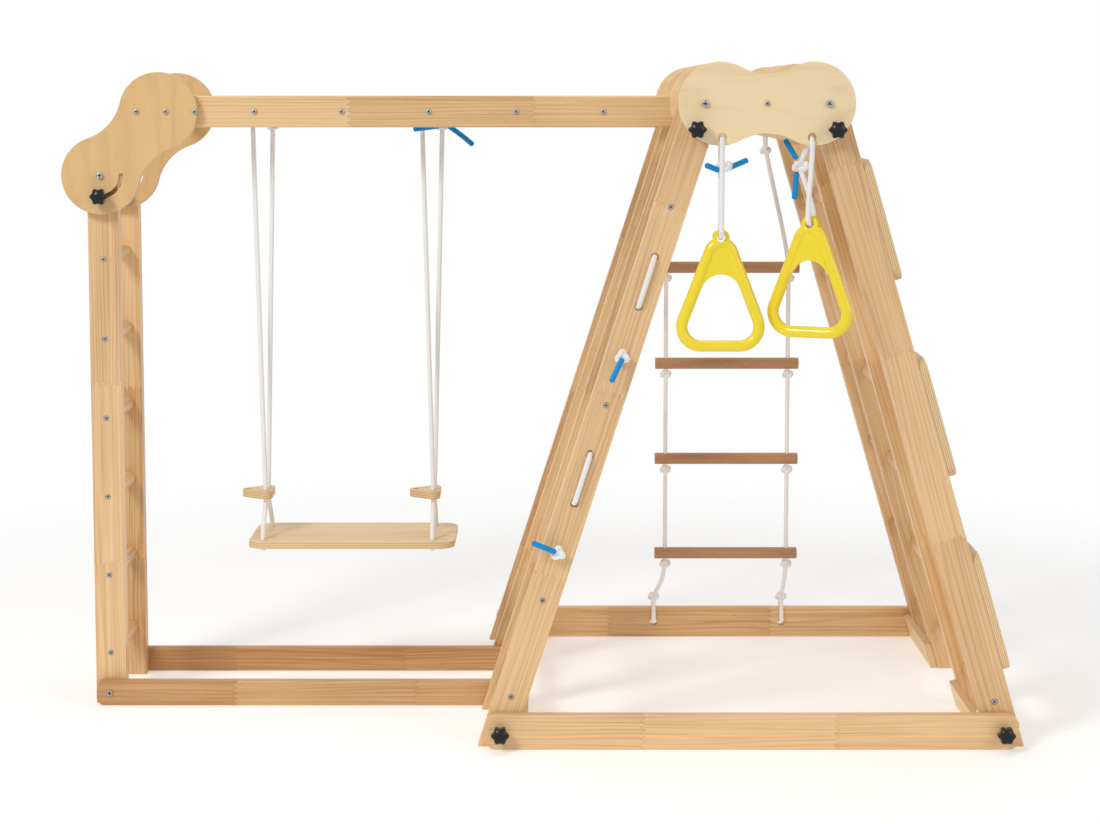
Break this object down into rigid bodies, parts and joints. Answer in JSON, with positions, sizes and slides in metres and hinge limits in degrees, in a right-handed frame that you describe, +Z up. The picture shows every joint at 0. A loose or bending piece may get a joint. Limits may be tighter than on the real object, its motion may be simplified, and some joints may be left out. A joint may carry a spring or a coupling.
{
  "type": "indoor playset",
  "caption": "Folding wooden indoor playset: rung-sided A-frame with hub plates, monkey bars, end ladder, swing, trapeze rings, rope ladder, rope net and climbing boards.",
  "frame": {"origin": "on the floor at the centre of the footprint", "axes": "+X from the end ladder to the climbing boards, +Y to the rear, +Z up"},
  "size_m": [1.7337, 0.9066, 1.1995],
  "materials": {
    "pine": "satin lacquer",
    "birch_ply": "satin lacquer",
    "beech": "smooth",
    "white_rope": "braided",
    "yellow_plastic": "gloss",
    "black_plastic": "satin",
    "steel": "zinc plated"
  },
  "bodies": {
    "hub_beam": {"hub_plate_front": "birch_ply", "hub_plate_mid_front": "birch_ply", "hub_plate_mid_rear": "birch_ply", "hub_plate_rear": "birch_ply", "hub_crossbars": "pine", "beam_rail_front": "pine", "beam_rail_rear": "pine", "beam_bars": "pine", "beam_screws": "steel", "hinge_plate_front": "birch_ply", "hinge_plate_rear": "birch_ply", "pivot_bolts": "steel", "rope_ladder_rungs": "beech", "rope_ladder_rope_left": "white_rope", "rope_ladder_rope_right": "white_rope"},
    "end_ladder": {"ladder_upright_front": "pine", "ladder_upright_rear": "pine", "ladder_steps": "pine", "ladder_screws": "steel"},
    "left_leg": {"left_rail_1": "pine", "left_rail_2": "pine", "left_rail_3": "pine", "left_rail_4": "pine", "left_rungs": "pine", "left_screws": "steel", "left_foot_braces": "birch_ply", "net_rope_upper": "white_rope", "net_rope_lower": "white_rope", "base_rail_rear": "pine", "base_washers": "steel"},
    "right_leg": {"right_rail_1": "pine", "right_rail_2": "pine", "right_rail_3": "pine", "right_rail_4": "pine", "right_rungs": "pine", "right_screws": "steel", "right_foot_braces": "birch_ply", "climbing_boards": "birch_ply"},
    "base_front": {"base_rail_front": "pine"},
    "low_rails": {"low_rail_front": "pine", "low_rail_rear": "pine", "low_rail_bolts": "steel"},
    "swing": {"swing_seat": "birch_ply", "swing_spacers": "birch_ply", "swing_rope_left": "white_rope", "swing_rope_right": "white_rope"},
    "ring_left": {"ring_left": "yellow_plastic", "ring_rope_left": "white_rope"},
    "ring_right": {"ring_right": "yellow_plastic", "ring_rope_right": "white_rope"},
    "knob_hub_left_front": {"knob_hub_left_front": "black_plastic"},
    "knob_foot_left_front": {"knob_foot_left_front": "black_plastic"},
    "knob_hub_left_rear": {"knob_hub_left_rear": "black_plastic"},
    "knob_foot_left_rear": {"knob_foot_left_rear": "black_plastic"},
    "knob_hub_right_front": {"knob_hub_right_front": "black_plastic"},
    "knob_foot_right_front": {"knob_foot_right_front": "black_plastic"},
    "knob_hub_right_rear": {"knob_hub_right_rear": "black_plastic"},
    "knob_foot_right_rear": {"knob_foot_right_rear": "black_plastic"},
    "knob_ladder_front": {"knob_ladder_front": "black_plastic"},
    "knob_ladder_rear": {"knob_ladder_rear": "black_plastic"}
  },
  "joints": [
    {"name": "left_leg_fold", "type": "hinge", "parent": "hub_beam", "child": "left_leg", "pos_m": [0.29665, 0, 1.128], "axis": [0, -1, 0], "range_deg": [0, 9], "deforming": ["rope_ladder_rope_left", "rope_ladder_rope_right", "ring_rope_left", "ring_rope_right"]},
    {"name": "right_leg_fold", "type": "hinge", "parent": "hub_beam", "child": "right_leg", "pos_m": [0.50865, 0, 1.128], "axis": [0, 1, 0], "range_deg": [0, 12], "deforming": ["ring_rope_left", "ring_rope_right"]},
    {"name": "end_ladder_fold", "type": "hinge", "parent": "hub_beam", "child": "end_ladder", "pos_m": [-0.79535, 0, 0.995], "axis": [0, -1, 0], "range_deg": [0, 15]},
    {"name": "base_front_lift", "type": "hinge", "parent": "left_leg", "child": "base_front", "pos_m": [-0.0554, -0.411, 0.031], "axis": [0, -1, 0], "range_deg": [0, 40]},
    {"name": "low_rails_lift", "type": "hinge", "parent": "left_leg", "child": "low_rails", "pos_m": [-0.05765, 0, 0.024], "axis": [0, 1, 0], "range_deg": [0, 45]},
    {"name": "swing_swing", "type": "hinge", "parent": "hub_beam", "child": "swing", "pos_m": [-0.35195, 0, 1.112], "axis": [1, 0, 0], "range_deg": [-35, 35], "deforming": ["swing_rope_left", "swing_rope_right"]},
    {"name": "ring_left_swing", "type": "hinge", "parent": "hub_beam", "child": "ring_left", "pos_m": [0.32565, -0.41, 1.071], "axis": [-1, 0, 0], "range_deg": [0, 35], "deforming": ["ring_rope_left"]},
    {"name": "ring_right_swing", "type": "hinge", "parent": "hub_beam", "child": "ring_right", "pos_m": [0.47965, -0.41, 1.071], "axis": [-1, 0, 0], "range_deg": [0, 35], "deforming": ["ring_rope_right"]},
    {"name": "knob_hub_left_front_turn", "type": "hinge", "parent": "hub_beam", "child": "knob_hub_left_front", "pos_m": [0.28259, -0.425, 1.0842], "axis": [0, 1, 0], "continuous": true},
    {"name": "knob_foot_left_front_turn", "type": "hinge", "parent": "base_front", "child": "knob_foot_left_front", "pos_m": [-0.0554, -0.425, 0.031], "axis": [0, 1, 0], "continuous": true},
    {"name": "knob_hub_left_rear_turn", "type": "hinge", "parent": "hub_beam", "child": "knob_hub_left_rear", "pos_m": [0.28259, 0.425, 1.0842], "axis": [0, 1, 0], "continuous": true},
    {"name": "knob_foot_left_rear_turn", "type": "hinge", "parent": "left_leg", "child": "knob_foot_left_rear", "pos_m": [-0.0554, 0.425, 0.031], "axis": [0, 1, 0], "continuous": true},
    {"name": "knob_hub_right_front_turn", "type": "hinge", "parent": "hub_beam", "child": "knob_hub_right_front", "pos_m": [0.52149, -0.425, 1.08383], "axis": [0, 1, 0], "continuous": true},
    {"name": "knob_foot_right_front_turn", "type": "hinge", "parent": "base_front", "child": "knob_foot_right_front", "pos_m": [0.82764, -0.425, 0.031], "axis": [0, 1, 0], "continuous": true},
    {"name": "knob_hub_right_rear_turn", "type": "hinge", "parent": "hub_beam", "child": "knob_hub_right_rear", "pos_m": [0.52149, 0.425, 1.08383], "axis": [0, 1, 0], "continuous": true},
    {"name": "knob_foot_right_rear_turn", "type": "hinge", "parent": "left_leg", "child": "knob_foot_right_rear", "pos_m": [0.82764, 0.425, 0.031], "axis": [0, 1, 0], "continuous": true},
    {"name": "knob_ladder_front_turn", "type": "hinge", "parent": "end_ladder", "child": "knob_ladder_front", "pos_m": [-0.79535, -0.143, 0.957], "axis": [0, 1, 0], "continuous": true},
    {"name": "knob_ladder_rear_turn", "type": "hinge", "parent": "end_ladder", "child": "knob_ladder_rear", "pos_m": [-0.79535, 0.065, 0.957], "axis": [0, 1, 0], "continuous": true}
  ]
}
